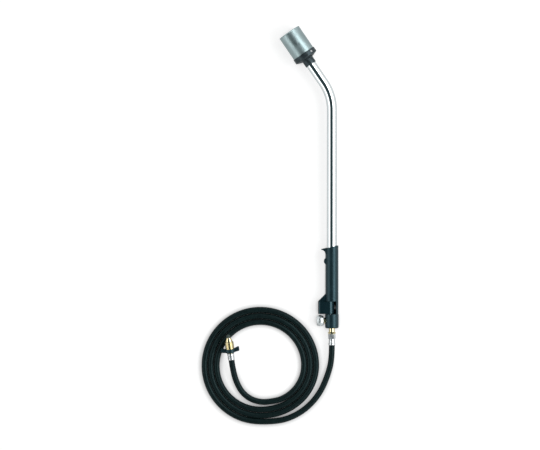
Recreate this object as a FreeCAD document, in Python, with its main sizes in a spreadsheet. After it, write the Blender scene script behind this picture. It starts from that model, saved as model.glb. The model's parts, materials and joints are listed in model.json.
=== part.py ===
"""Hand-held gas torch: burner head, bent lance tube, handle with igniter trigger and gas valve,
rubber hose in a flat coil and a cylinder connector.

Torch frame: origin on the lance axis at the hose end of the handle, +Y along the lance to the burner,
+X to the side away from the trigger, +Z up from the surface that the torch lies on.
Sizes are in millimetres and degrees.
"""
import FreeCAD, Part
import math
import os
import re

import Sketcher

Vector = FreeCAD.Vector
Rotation = FreeCAD.Rotation
Placement = FreeCAD.Placement

SIZES = {
    # Lance tube
    "tube_diameter": 25.4,
    "tube_wall": 1.5,
    "bend_station": 582.5,
    "bend_angle": 34.4,
    "bend_radius": 120,
    # Fits
    "slip": 0.05,
    "play": 0.4,
    "gap": 0.5,
    "hex_bevel": 0.1,
    # Burner head, stations along the head axis from the bend's corner
    "hub_station": 92.3,
    "hub_diameter": 29,
    "hub_round": 1,
    "hub_fillet": 2,
    "head_length": 33,
    "flange_diameter": 61,
    "rim_thickness": 12.8,
    "dish_depth": 4.2,
    "rim_round": 2,
    "socket_depth": 10,
    "tube_insert": 12.5,
    "cup_diameter": 57.6,
    "cup_wall": 0.9,
    "cup_length": 74.2,
    "cup_lip": 4,
    "bead_height": 2,
    "bead_stand": 0.5,
    "air_hole_count": 6,
    "air_hole_diameter": 7,
    "air_hole_circle": 38,
    "cup_screw_count": 3,
    "cup_screw_angle": 37,
    "cup_screw_diameter": 3,
    "cup_screw_head": 5.6,
    "cup_screw_head_height": 1.5,
    "cup_screw_bevel": 1,
    "cup_screw_point": 0.6,
    "set_screw_diameter": 4,
    "socket_key": 2,
    "socket_key_depth": 0.9,
    # Gas jet, mixing nozzle and spark gap
    "jet_diameter": 7.6,
    "jet_flange_diameter": 10,
    "jet_flange_thickness": 4,
    "jet_tip_diameter": 6.4,
    "jet_reach": 8,
    "jet_bore": 1.2,
    "jet_taper": 2,
    "nozzle_diameter": 11,
    "nozzle_wall": 1.2,
    "nozzle_step": 0.5,
    "nozzle_length": 27,
    "nozzle_port_count": 6,
    "nozzle_port_diameter": 3,
    "holder_station": 16,
    "holder_thickness": 1.2,
    "holder_hole_count": 10,
    "holder_hole_diameter": 6,
    "holder_hole_circle": 40,
    "electrode_offset": 8.2,
    "insulator_diameter": 4,
    "insulator_collar": 4.8,
    "insulator_collar_height": 2,
    "insulator_tail": 4,
    "insulator_length": 22,
    "electrode_diameter": 1.6,
    "electrode_reach": 9,
    "electrode_hook": 5,
    "lead_diameter": 2.4,
    "pipe_diameter": 5,
    "pipe_wall": 0.8,
    # Handle shells, stations along the lance axis
    "grip_diameter": 32.5,
    "housing_diameter": 34,
    "housing_length": 35,
    "housing_round": 3.5,
    "shell_wall": 2.05,
    "root_skin": 0.45,
    "floor_thickness": 4,
    "tube_seat": 104,
    "rib_thickness": 4,
    "rib_bore": 20,
    "top_station": 203.6,
    "top_slope": 11.8,
    "lip_reach": 26.5,
    "lip_cove": 11,
    "lip_foot": 185,
    "lip_half_width": 9,
    "lip_round": 5,
    "lip_screw_drop": 1.5,
    "bump_station": 167.5,
    "bump_half_length": 7.5,
    "bump_height": 3.75,
    "bump_half_width": 8,
    "post_diameter": 6,
    "post_height": 9,
    "upper_post_station": 94,
    "upper_post_offset": 10,
    "lower_post_station": 8,
    "lower_post_offset": 11.1,
    "handle_screw_diameter": 2.6,
    "handle_screw_head": 4.8,
    "handle_screw_head_height": 2,
    "handle_screw_seat": 4.5,
    "handle_screw_grip": 6,
    "handle_screw_margin": 1,
    # Igniter trigger and piezo unit
    "trigger_height": 31.2,
    "trigger_nose": 34.5,
    "trigger_edge": 5.3,
    "trigger_half_width": 13.3,
    "trigger_corner": 7,
    "trigger_wall": 2.2,
    "trigger_web": 14,
    "trigger_travel": 5,
    "trigger_round": 1.2,
    "wedge_half_width": 7,
    "wedge_rise": 19,
    "wedge_shoulder": 16,
    "wedge_foot": 13,
    "piezo_diameter": 9,
    "piezo_free_end": 8,
    "piezo_seat": 13,
    "piezo_socket_depth": 2,
    "piezo_socket_wall": 1.8,
    "plunger_diameter": 6,
    "plunger_seat": 26,
    "plunger_inset": 4,
    "terminal_offset": 7,
    "terminal_diameter": 3.2,
    "terminal_height": 6.5,
    # Gas valve
    "valve_drop": 16.25,
    "valve_diameter": 24,
    "valve_neck_diameter": 15,
    "valve_neck_top": 12.5,
    "valve_boss_diameter": 13,
    "valve_boss_reach": 14,
    "inlet_bore": 10,
    "inlet_clearance": 0.25,
    "passage_diameter": 3,
    "cross_passage": 2,
    "spindle_diameter": 5.5,
    "spindle_reach": 33,
    "needle_length": 4,
    "needle_tip": 2,
    "thread_pitch": 1,
    "valve_turns": 1.5,
    "packing_diameter": 10,
    "packing_thickness": 3,
    "gland_flats": 13.5,
    "knob_clearance": 1,
    "knob_seat": 12,
    "knob_length": 16.8,
    "knob_diameter": 28,
    "knob_end_diameter": 25,
    "knob_round": 2.5,
    "flute_count": 12,
    "flute_diameter": 5,
    "flute_depth": 0.7,
    "knob_recess": 7,
    "knob_recess_depth": 2,
    "knob_screw_diameter": 3,
    "knob_screw_head": 6.4,
    "knob_screw_head_height": 1.8,
    "knob_screw_bevel": 0.8,
    "knob_screw_grip": 5,
    "pipe_offset_side": 4,
    "pipe_offset_back": 7.5,
    "pipe_insert": 4,
    "pipe_nut_flats": 9,
    "pipe_nut_thickness": 5.5,
    "pipe_nut_clearance": 0.5,
    # Inlet
    "neck_diameter": 14.7,
    "neck_length": 9.5,
    "collar_flats": 17,
    "collar_thickness": 4.5,
    "tail_diameter": 8,
    "tail_length": 10,
    "nut_flats": 16,
    "nut_length": 13,
    "ferrule_length": 15.5,
    "ferrule_bead_diameter": 16.8,
    "ferrule_bead_length": 5,
    "ferrule_diameter": 15,
    # Hose, laid on the surface
    "hose_diameter": 14.8,
    "coil_gap": 0.45,
    "coil_radius": 140,
    "coil_turns": 3,
    "coil_centre_side": 178.75,
    "coil_centre_back": 94.5,
    "coil_step_turn": 70,
    "coil_end_shift": 19.5,
    "lead_run": 35.5,
    "lead_end_run": 41.25,
    "tail_run": 20,
    "tail_end_run": 37,
    # Cylinder connector, stations along its axis from the end of the hose
    "connector_side": 72.3,
    "connector_ahead": 16,
    "connector_rise": 14.9,
    "connector_lean": 7.5,
    "connector_pitch": 13,
    "end_ferrule_diameter": 16.8,
    "end_ferrule_length": 17.5,
    "end_ferrule_groove": 1,
    "first_groove_station": 5.2,
    "second_groove_station": 9.6,
    "end_ferrule_bevel": 1,
    "stem_tail_diameter": 8,
    "stem_tail_length": 11,
    "stem_collar_diameter": 15,
    "stem_collar_length": 0.8,
    "stem_diameter": 11,
    "axial_play": 0.4,
    "nut_hub_diameter": 16,
    "wing_width": 10.7,
    "thread_diameter": 22.5,
    "thread_length": 17,
    "thread_chamfer": 1.2,
    "shoulder_diameter": 17.5,
    "shoulder_land": 2,
    "shoulder_length": 10.5,
    "seal_seat_diameter": 6,
    "seal_diameter": 10.5,
    "seal_thickness": 2.5,
    "nose_diameter": 9,
    "nose_length": 5.5,
    "nose_round": 2.5,
    "wing_hub_diameter": 25,
    "wing_half_span": 23,
    "wing_thickness": 7,
    "wing_sweep": 2.5,
    "wing_round": 2.5,
}

# Places worked out from the sizes, written with the sizes' names.
DERIVED = {
    "tube_radius": "tube_diameter / 2",
    "tube_bore": "tube_radius - tube_wall",
    "bend_tangent": "bend_radius * tan(bend_angle * 1 deg / 2)",
    "shoulder_station": "hub_station + tube_insert",
    "flange_front": "hub_station + head_length",
    "rim_back": "flange_front - rim_thickness",
    "dish_station": "rim_back - dish_depth",
    "cup_floor": "flange_front - socket_depth",
    "cup_mouth": "cup_floor + cup_length",
    "cup_radius": "cup_diameter / 2",
    "cup_bore": "cup_radius - cup_wall",
    "flange_radius": "flange_diameter / 2",
    "hub_radius": "hub_diameter / 2",
    "rim_middle": "flange_front - rim_thickness / 2",
    "jet_station": "shoulder_station - jet_flange_thickness",
    "holder_floor": "cup_floor + holder_station",
    "insulator_start": "shoulder_station - insulator_tail",
    "insulator_end": "cup_floor + insulator_length",
    "electrode_end": "insulator_end + electrode_reach",
    "grip_radius": "grip_diameter / 2",
    "housing_radius": "housing_diameter / 2",
    "cavity": "grip_radius - shell_wall",
    "tube_pocket": "tube_radius + slip",
    "wall_inside": "tube_pocket + root_skin",
    "slope_ratio": "tan(top_slope * 1 deg)",
    "top_blank": "top_station + lip_reach * slope_ratio + play",
    "lip_tip_foot": "lip_foot + sqrt(lip_cove ^ 2 - (grip_radius + lip_cove - lip_reach) ^ 2)",
    "lip_screw_offset": "wall_inside + handle_screw_head / 2 + handle_screw_margin",
    "lip_screw_station": "lip_foot + lip_cove - lip_screw_drop",
    "bump_round": "(bump_half_length ^ 2 + bump_height ^ 2) / (2 * bump_height)",
    "window_floor": "housing_length + gap",
    "trigger_floor": "window_floor + play",
    "trigger_top": "trigger_floor + trigger_height",
    "window_top": "trigger_top + play",
    "wedge_top": "trigger_top + wedge_rise",
    "window_edge": "trigger_edge + trigger_travel + play / 2",
    "back_window_edge": "0 - sqrt(cavity ^ 2 - (trigger_half_width + gap) ^ 2)",
    "cheek_opening": "piezo_diameter / 2 + gap",
    "cheek_centre": "sqrt(trigger_half_width ^ 2 - cheek_opening ^ 2) - trigger_edge",
    "cheek_bore": "trigger_half_width - trigger_wall",
    "piezo_station": "trigger_floor + trigger_height / 2",
    "piezo_mouth": "piezo_seat - piezo_socket_depth",
    "valve_station": "housing_length - valve_drop",
    "valve_top": "housing_length - pipe_nut_clearance - pipe_nut_thickness",
    "inlet_bore_depth": "valve_station - valve_boss_diameter / 2 - inlet_clearance - floor_thickness",
    "packing_floor": "valve_boss_reach - packing_thickness",
    "spindle_bore": "spindle_diameter + 2 * slip",
    "valve_travel": "thread_pitch * valve_turns",
    "knob_station": "spindle_reach - knob_seat",
    "gland_thickness": "knob_station - knob_clearance - valve_boss_reach",
    "knob_face": "knob_station + knob_length",
    "knob_barrel": "((knob_length / 2 - knob_round) ^ 2 + knob_crown ^ 2) / (2 * knob_crown)",
    "knob_crown": "(knob_diameter - knob_end_diameter) / 2",
    "pipe_floor": "valve_top - pipe_insert",
    "collar_top": "0 - neck_length",
    "nut_top": "collar_top - collar_thickness",
    "ferrule_top": "nut_top - nut_length",
    "hose_start": "ferrule_top - ferrule_length",
    "coil_pitch": "hose_diameter + coil_gap",
    "stem_collar_end": "end_ferrule_length + stem_collar_length",
    "nut_start": "stem_collar_end + axial_play",
    "wing_end": "nut_start + wing_width",
    "thread_end": "wing_end + thread_length",
    "shoulder_start": "thread_end + axial_play",
    "shoulder_end": "shoulder_start + shoulder_length",
    "seal_end": "shoulder_end + seal_thickness",
    "nose_end": "seal_end + nose_length",
}

doc = FreeCAD.newDocument("gas_torch")
sheet = doc.addObject("Spreadsheet::Sheet", "Sizes")
nodes = []
helpers = []
ARC_SHARE = 0.45
LEAST_CUT = 0.01
LENGTH_TOLERANCE = 1e-4


def fill_sheet():
    for row, (alias, value) in enumerate(SIZES.items(), start=1):
        sheet.set(f"A{row}", alias)
        sheet.set(f"B{row}", str(value))
        sheet.setAlias(f"B{row}", alias)
    doc.recompute()


def expression(text):
    """Write a size expression with the sheet's cell names."""
    def expand(match):
        word = match.group(0)
        if word in DERIVED:
            return "(" + expression(DERIVED[word]) + ")"
        if word in SIZES:
            return "Sizes." + word
        return word
    return re.sub(r"[A-Za-z_]+", expand, text)


def size(text):
    """Give the number that a size expression stands for."""
    return float(sheet.evalExpression(expression(text)))


def new_body(label, frame):
    body = doc.addObject("PartDesign::Body", label)
    body.Label = label
    nodes.append((body, frame))
    return body


def new_sketch(body, role, offset=None):
    """Add a sketch on one of the body's own origin planes, moved along its normal by offset."""
    sketch = body.newObject("Sketcher::SketchObject", "Sketch")
    plane = next(item for item in body.Origin.OriginFeatures if item.Role == role)
    sketch.AttachmentSupport = [(plane, "")]
    sketch.MapMode = "FlatFace"
    if offset:
        sketch.setExpression("AttachmentOffset.Base.z", expression(offset))
    return sketch


def pin(sketch, geometry, point, x, y):
    """Tie a point of the sketch to two size expressions."""
    for kind, text, axis in (("DistanceX", x, -2), ("DistanceY", y, -1)):
        if text == "0":
            sketch.addConstraint(Sketcher.Constraint("PointOnObject", geometry, point, axis))
            continue
        index = sketch.addConstraint(Sketcher.Constraint(kind, -1, 1, geometry, point, size(text)))
        sketch.setExpression(f"Constraints[{index}]", expression(text))


def arc_between(start, end, radius, left):
    """Give the arc from start to end that turns left or right, of less than a half circle or a half."""
    chord = end - start
    half = chord.Length / 2
    rise = math.sqrt(max(radius * radius - half * half, 0))
    normal = Vector(-chord.y, chord.x, 0).normalize()
    centre = (start + end) / 2 + normal * (rise if left else -rise)
    first, last = (start, end) if left else (end, start)
    circle = Part.Circle(centre, Vector(0, 0, 1), radius)
    first_angle = math.atan2(first.y - centre.y, first.x - centre.x)
    last_angle = math.atan2(last.y - centre.y, last.x - centre.x)
    if last_angle <= first_angle:
        last_angle += 2 * math.pi
    return Part.ArcOfCircle(circle, first_angle, last_angle)


def outline(sketch, path, closed=True):
    """Draw a path of lines and arcs whose corners follow size expressions.

    A corner is (x, y). With (x, y, radius, side) the stretch that arrives there is an arc that turns
    to that side, "left" or "right".
    """
    corners = [Vector(size(corner[0]), size(corner[1]), 0) for corner in path]
    count = len(path)
    spans = range(count if closed else count - 1)
    starts = {}
    ends = {}
    for index in spans:
        target = (index + 1) % count
        corner = path[target]
        if len(corner) == 2:
            piece = sketch.addGeometry(Part.LineSegment(corners[index], corners[target]))
            starts[index], ends[target] = (piece, 1), (piece, 2)
            continue
        left = corner[3] == "left"
        arc = arc_between(corners[index], corners[target], size(corner[2]), left)
        piece = sketch.addGeometry(arc)
        starts[index], ends[target] = ((piece, 1), (piece, 2)) if left else ((piece, 2), (piece, 1))
        limit = sketch.addConstraint(Sketcher.Constraint("Radius", piece, size(corner[2])))
        sketch.setExpression(f"Constraints[{limit}]", expression(corner[2]))
    for index, corner in enumerate(path):
        geometry, point = starts.get(index) or ends[index]
        pin(sketch, geometry, point, corner[0], corner[1])
        if index in starts and index in ends:
            sketch.addConstraint(Sketcher.Constraint("Coincident", *ends[index], *starts[index]))
    return sketch


def circle(sketch, x, y, diameter):
    radius = size(diameter) / 2
    centre = Vector(size(x), size(y), 0)
    piece = sketch.addGeometry(Part.Circle(centre, Vector(0, 0, 1), radius))
    pin(sketch, piece, 3, x, y)
    index = sketch.addConstraint(Sketcher.Constraint("Diameter", piece, 2 * radius))
    sketch.setExpression(f"Constraints[{index}]", expression(diameter))
    return sketch


def rectangle(left, bottom, right, top):
    return [(left, bottom), (right, bottom), (right, top), (left, top)]


def hexagon(flats):
    corner = f"{flats} / sqrt(3)"
    half_corner = f"{flats} / sqrt(12)"
    half = f"{flats} / 2"
    return [(corner, "0"), (half_corner, half), (f"0 - {half_corner}", half), (f"0 - {corner}", "0"),
            (f"0 - {half_corner}", f"0 - {half}"), (half_corner, f"0 - {half}")]


def revolve(body, sketch, half=None):
    """Turn the sketch about its upright axis: all round, or the half above or below its plane."""
    feature = body.newObject("PartDesign::Revolution", "Revolution")
    feature.Profile = (sketch, [""])
    feature.ReferenceAxis = (sketch, ["V_Axis"])
    feature.Angle = 180 if half else 360
    feature.Reversed = half == "above"
    return feature


def pad(body, sketch, length, reverse=False, both=False):
    feature = body.newObject("PartDesign::Pad", "Pad")
    feature.Profile = (sketch, [""])
    feature.setExpression("Length", expression(length))
    feature.SideType = "Symmetric" if both else "One side"
    feature.Reversed = reverse
    return feature


def pocket(body, sketch, length=None, reverse=False):
    """Cut the sketch's outline away: to a depth, or with no length right through to both sides."""
    feature = body.newObject("PartDesign::Pocket", "Pocket")
    feature.Profile = (sketch, [""])
    feature.Reversed = reverse
    if length:
        feature.setExpression("Length", expression(length))
    else:
        feature.Type = "ThroughAll"
        feature.SideType = "Symmetric"
    return feature


def groove(body, sketch):
    feature = body.newObject("PartDesign::Groove", "Groove")
    feature.Profile = (sketch, [""])
    feature.ReferenceAxis = (sketch, ["V_Axis"])
    feature.Angle = 360
    return feature


def polar(body, feature, count):
    """Repeat a feature evenly about the body's own axis."""
    pattern = body.newObject("PartDesign::PolarPattern", "PolarPattern")
    pattern.Originals = [feature]
    axis = next(item for item in body.Origin.OriginFeatures if item.Role == "Y_Axis")
    pattern.Axis = (axis, [""])
    pattern.Angle = 360
    pattern.setExpression("Occurrences", expression(count))
    body.Tip = pattern
    return pattern


def turned(label, frame, path):
    """Make a turned piece: a profile of (radius, station) revolved about the frame's Y axis."""
    body = new_body(label, frame)
    revolve(body, outline(new_sketch(body, "XY_Plane"), path))
    return body


def bore(body, role, x, y, diameter, length=None, offset=None, reverse=False):
    sketch = circle(new_sketch(body, role, offset), x, y, diameter)
    return pocket(body, sketch, length, reverse)


def bevel_hex(body, flats, ends):
    """Turn the corners of a hexagon down at stations, each given with the side that it faces."""
    tip = f"{flats} / sqrt(3) + play"
    for station, side in ends:
        fall = f"{station} {side} {flats} * hex_bevel"
        ring = [(f"{flats} / 2", station), (tip, station), (tip, fall)]
        groove(body, outline(new_sketch(body, "XY_Plane"), ring))


def ease_edges(body, wanted, radius):
    """Round the edges of the body's last feature that the test picks."""
    doc.recompute()
    base = body.Tip
    names = [f"Edge{index}" for index, edge in enumerate(base.Shape.Edges, start=1) if wanted(edge)]
    feature = body.newObject("PartDesign::Fillet", "Fillet")
    feature.Base = (base, names)
    feature.setExpression("Radius", expression(radius))
    return feature


def solid_feature(label, frame):
    feature = doc.addObject("Part::Feature", label)
    feature.Label = label
    nodes.append((feature, frame))
    return feature


def rounded_wire(points, radius=None):
    """Join points by straight runs and tangent arcs.

    Each arc is as large as its two runs allow, unless a radius is given. The wire and the arcs' radii
    are returned.
    """
    edges = []
    radii = []
    start = points[0]
    for before, corner, after in zip(points, points[1:], points[2:]):
        arriving = (corner - before).normalize()
        leaving = (after - corner).normalize()
        half_turn = arriving.getAngle(leaving) / 2
        shorter = min((corner - before).Length, (after - corner).Length)
        bend = radius or ARC_SHARE * shorter / math.tan(half_turn)
        tangent = bend * math.tan(half_turn)
        first = corner - arriving * tangent
        last = corner + leaving * tangent
        inward = (leaving - arriving).normalize()
        middle = corner + inward * (bend / math.cos(half_turn) - bend)
        edges.append(Part.LineSegment(start, first).toShape())
        edges.append(Part.Arc(first, middle, last).toShape())
        radii.append(bend)
        start = last
    edges.append(Part.LineSegment(start, points[-1]).toShape())
    return Part.Wire(edges), radii


def tube_along(wire, diameter):
    """Sweep a round section along a wire and compare its volume with section times length."""
    first = wire.OrderedEdges[0]
    start = first.valueAt(first.FirstParameter)
    heading = first.tangentAt(first.FirstParameter)
    section = Part.Wire([Part.makeCircle(diameter / 2, start, heading)])
    solid = wire.makePipeShell([section], True, False)
    expected = math.pi * diameter * diameter / 4 * wire.Length
    if abs(solid.Volume / expected - 1) > 0.01:
        raise ValueError("a swept tube has the wrong volume")
    return solid


def burner_head():
    base = turned("burner_base", "head_spin", [
        ("tube_pocket", "hub_station"), ("hub_radius - hub_round", "hub_station"),
        ("hub_radius", "hub_station + hub_round", "hub_round", "left"),
        ("hub_radius", "dish_station - hub_fillet"),
        ("hub_radius + hub_fillet", "dish_station", "hub_fillet", "right"),
        ("flange_radius - rim_round", "rim_back"),
        ("flange_radius", "rim_back + rim_round", "rim_round", "left"),
        ("flange_radius", "flange_front"), ("cup_radius + slip", "flange_front"),
        ("cup_radius + slip", "cup_floor"), ("jet_diameter / 2", "cup_floor"),
        ("jet_diameter / 2", "shoulder_station"), ("tube_pocket", "shoulder_station")])
    hole = bore(base, "XZ_Plane", "0", "air_hole_circle / 2", "air_hole_diameter")
    polar(base, hole, "air_hole_count")
    hole = bore(base, "XY_Plane", "0", "rim_middle", "cup_screw_diameter", "flange_radius", None, True)
    polar(base, hole, "cup_screw_count")
    bore(base, "YZ_Plane", "hub_station + tube_insert / 2", "0", "set_screw_diameter", "hub_radius",
         None, True)
    bore(base, "XZ_Plane", "0 - electrode_offset * sin(cup_screw_angle * 1 deg)",
         "electrode_offset * cos(cup_screw_angle * 1 deg)", "insulator_diameter + 2 * slip")

    cup = turned("burner_cup", "head_spin", [
        ("cup_bore - cup_lip", "cup_floor"), ("cup_radius", "cup_floor"),
        ("cup_radius", "cup_mouth - bead_height"),
        ("cup_radius + bead_stand", "cup_mouth - bead_height / 2"),
        ("cup_radius", "cup_mouth"), ("cup_bore", "cup_mouth"),
        ("cup_bore", "cup_floor + cup_wall"), ("cup_bore - cup_lip", "cup_floor + cup_wall")])
    hole = bore(cup, "XY_Plane", "0", "rim_middle", "cup_screw_diameter", "flange_radius", None, True)
    polar(cup, hole, "cup_screw_count")

    screws = []
    for index in range(int(size("cup_screw_count"))):
        frame = f"cup_screw_{index}"
        screws.append(turned(f"cup_screw_{index}", frame, [
            ("0", "cup_bore - cup_screw_point"), ("cup_screw_diameter / 2", "cup_bore - cup_screw_point"),
            ("cup_screw_diameter / 2", "flange_radius"), ("cup_screw_head / 2", "flange_radius"),
            ("cup_screw_head / 2 - cup_screw_bevel", "flange_radius + cup_screw_head_height"),
            ("0", "flange_radius + cup_screw_head_height")]))
        key = outline(new_sketch(screws[-1], "XZ_Plane", "0 - flange_radius - cup_screw_head_height"),
                      hexagon("socket_key"))
        pocket(screws[-1], key, "socket_key_depth", True)
        nodes.pop()
    group("cup_screws", screws, [f"cup_screw_{index}" for index in range(len(screws))])

    grub = turned("base_set_screw", "set_screw", [
        ("0", "tube_pocket"), ("set_screw_diameter / 2", "tube_pocket"),
        ("set_screw_diameter / 2", "hub_radius - slip"), ("0", "hub_radius - slip")])
    key = outline(new_sketch(grub, "XZ_Plane", "slip - hub_radius"), hexagon("socket_key"))
    pocket(grub, key, "socket_key_depth", True)

    jet = turned("gas_jet", "head", [
        ("jet_bore / 2", "jet_station"), ("jet_flange_diameter / 2", "jet_station"),
        ("jet_flange_diameter / 2", "shoulder_station"), ("jet_diameter / 2", "shoulder_station"),
        ("jet_diameter / 2", "cup_floor"), ("jet_tip_diameter / 2", "cup_floor"),
        ("jet_tip_diameter / 2", "cup_floor + jet_reach - jet_taper"), ("jet_bore", "cup_floor + jet_reach"),
        ("jet_bore / 2", "cup_floor + jet_reach")])
    bore(jet, "XZ_Plane", "0", "0", "pipe_diameter - 2 * pipe_wall", "jet_flange_thickness",
         "0 - jet_station", False)

    nozzle = turned("burner_nozzle", "head", [
        ("nozzle_diameter / 2 - nozzle_wall", "cup_floor"), ("nozzle_diameter / 2", "cup_floor"),
        ("nozzle_diameter / 2", "holder_floor"), ("nozzle_diameter / 2 - nozzle_step", "holder_floor"),
        ("nozzle_diameter / 2 - nozzle_step", "cup_floor + nozzle_length"),
        ("nozzle_diameter / 2 - nozzle_wall", "cup_floor + nozzle_length")])
    port = bore(nozzle, "XY_Plane", "0", "cup_floor + jet_reach / 2", "nozzle_port_diameter",
                "nozzle_diameter", None, True)
    polar(nozzle, port, "nozzle_port_count")

    holder = turned("flame_holder", "head", [
        ("nozzle_diameter / 2 - nozzle_step", "holder_floor"), ("cup_bore - play / 2", "holder_floor"),
        ("cup_bore - play / 2", "holder_floor + holder_thickness"),
        ("nozzle_diameter / 2 - nozzle_step", "holder_floor + holder_thickness")])
    hole = bore(holder, "XZ_Plane", "0", "holder_hole_circle / 2", "holder_hole_diameter")
    polar(holder, hole, "holder_hole_count")
    bore(holder, "XZ_Plane", "0", "electrode_offset", "insulator_diameter + 2 * slip")

    turned("electrode_insulator", "electrode", [
        ("electrode_diameter / 2", "insulator_start"), ("insulator_diameter / 2", "insulator_start"),
        ("insulator_diameter / 2", "cup_floor"), ("insulator_collar / 2", "cup_floor"),
        ("insulator_collar / 2", "cup_floor + insulator_collar_height"),
        ("insulator_diameter / 2", "cup_floor + insulator_collar_height"),
        ("insulator_diameter / 2", "insulator_end"), ("electrode_diameter / 2", "insulator_end")])

    electrode = solid_feature("spark_electrode", "electrode")
    hook = size("electrode_hook")
    wire, _ = rounded_wire([Vector(0, size("insulator_start"), 0), Vector(0, size("electrode_end"), 0),
                            Vector(0, size("electrode_end") + hook / 2, -hook)], hook / 2)
    electrode.Shape = tube_along(wire, size("electrode_diameter"))


def group(label, pieces, frames):
    """Join like pieces into one node of separate solids."""
    compound = doc.addObject("Part::Compound", label)
    compound.Label = label
    compound.Links = pieces
    for piece, frame in zip(pieces, frames):
        helpers.append((piece, frame))
    nodes.append((compound, "torch"))


def lance():
    tube = new_body("lance_tube", "torch")
    far = "shoulder_station"
    reach = "bend_station + bend_tangent * cos(bend_angle * 1 deg)"
    spine = outline(new_sketch(tube, "XY_Plane"), [
        ("0", "tube_seat"), ("0", "bend_station - bend_tangent"),
        ("0 - bend_tangent * sin(bend_angle * 1 deg)", reach, "bend_radius", "left"),
        (f"0 - {far} * sin(bend_angle * 1 deg)", f"bend_station + {far} * cos(bend_angle * 1 deg)")],
        False)
    ring = new_sketch(tube, "XZ_Plane", "0 - tube_seat")
    circle(ring, "0", "0", "tube_diameter")
    circle(ring, "0", "0", "2 * tube_bore")
    doc.recompute()
    sweep = tube.newObject("PartDesign::AdditivePipe", "AdditivePipe")
    sweep.Profile = (ring, [""])
    sweep.Spine = (spine, [f"Edge{index + 1}" for index in range(len(spine.Geometry))])

    turn = math.radians(size("bend_angle"))
    corner = Vector(0, size("bend_station"), 0)
    along = Vector(-math.sin(turn), math.cos(turn), 0)
    across = size("pipe_offset_side")
    back = size("pipe_offset_back")
    gather = size("tube_seat - rib_thickness")
    leave = size("wedge_top - wedge_rise + play")

    pipe = solid_feature("gas_pipe", "torch")
    route = [Vector(-across, size("pipe_floor"), -back), Vector(-across, leave, -back),
             Vector(0, gather, 0), corner, corner + along * size("jet_station")]
    wire = pipe_wire(route)
    pipe.Shape = tube_along(wire, size("pipe_diameter")).cut(
        tube_along(wire, size("pipe_diameter - 2 * pipe_wall")))

    lead = solid_feature("ignition_lead", "torch")
    rise = Vector(0, 0, size("electrode_offset"))
    terminal = Vector(size("terminal_offset"), size("piezo_station + terminal_height"), 0)
    route = [terminal, Vector(terminal.x, leave, 0), Vector(0, gather, 0) + rise, corner + rise,
             corner + along * size("insulator_start") + rise]
    lead.Shape = tube_along(pipe_wire(route), size("lead_diameter"))

    nut = new_body("gas_pipe_nut", "pipe_nut")
    pad(nut, outline(new_sketch(nut, "XZ_Plane", "0 - valve_top"), hexagon("pipe_nut_flats")),
        "pipe_nut_thickness", True)
    bore(nut, "XZ_Plane", "0", "0", "pipe_diameter")


def pipe_wire(route):
    """Round a route inside the lance: small bends in the handle, the tube's own bend at its corner."""
    lower, _ = rounded_wire(route[:4], size("grip_diameter"))
    upper, _ = rounded_wire(route[2:], size("bend_radius"))
    below = lower.OrderedEdges[:-1]
    above = upper.OrderedEdges[1:]
    straight = Part.LineSegment(below[-1].lastVertex(True).Point, above[0].firstVertex(True).Point)
    return Part.Wire(below + [straight.toShape()] + above)


SCREW_PLACES = (
    ("upper_post_offset", "upper_post_station"),
    ("0 - upper_post_offset", "upper_post_station"),
    ("lower_post_offset", "lower_post_station"),
    ("0 - lower_post_offset", "lower_post_station"),
    ("0 - lip_screw_offset", "bump_station"),
    ("0 - lip_screw_offset", "lip_screw_station"),
)


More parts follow.
